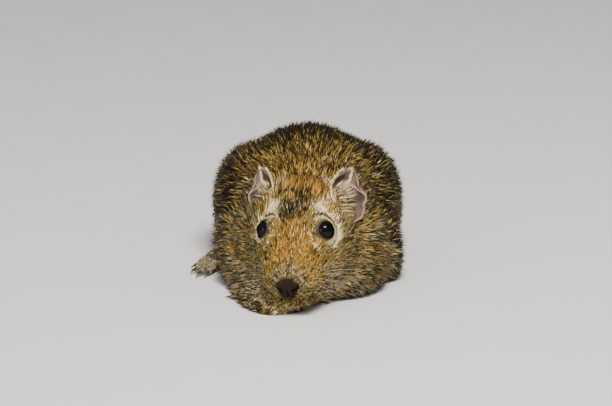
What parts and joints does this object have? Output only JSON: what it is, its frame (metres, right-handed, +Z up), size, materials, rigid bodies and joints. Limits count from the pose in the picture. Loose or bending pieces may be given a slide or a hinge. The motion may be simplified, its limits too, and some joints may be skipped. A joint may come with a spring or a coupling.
{
  "type": "degu animal model",
  "caption": "Life-size still model of a crouched degu with rounded back, wide cup ears, splayed hind foot and thin tail ending in a black brush.",
  "frame": {"origin": "on the floor, under the chest: a point on the flat underside of the torso", "axes": "+Z up from the floor, +Y back along the body and the tail, so the animal faces -Y, and +X to its left"},
  "size_m": [0.0918, 0.23, 0.0585],
  "materials": {
    "coat": "short agouti fur, yellow-brown ticked with black",
    "tail_brush": "long black bristly hair",
    "ear_skin": "thin mauve-grey bare skin with sparse pale hair",
    "foot_skin": "grey skin with short hair and dark horn claws",
    "eye": "wet, glossy black"
  },
  "bodies": {
    "root": {"head": "coat", "neck": "coat", "torso": "coat", "thigh_left": "coat", "thigh_right": "coat", "foreleg_left": "coat", "foreleg_right": "coat", "tail_base": "coat", "tail_mid": "coat", "tail_tuft": "tail_brush", "ear_left": "ear_skin", "ear_right": "ear_skin", "hindfoot_left": "foot_skin", "hindfoot_right": "foot_skin", "forepaw_left": "foot_skin", "forepaw_right": "foot_skin", "eye_left": "eye", "eye_right": "eye"}
  },
  "joints": []
}
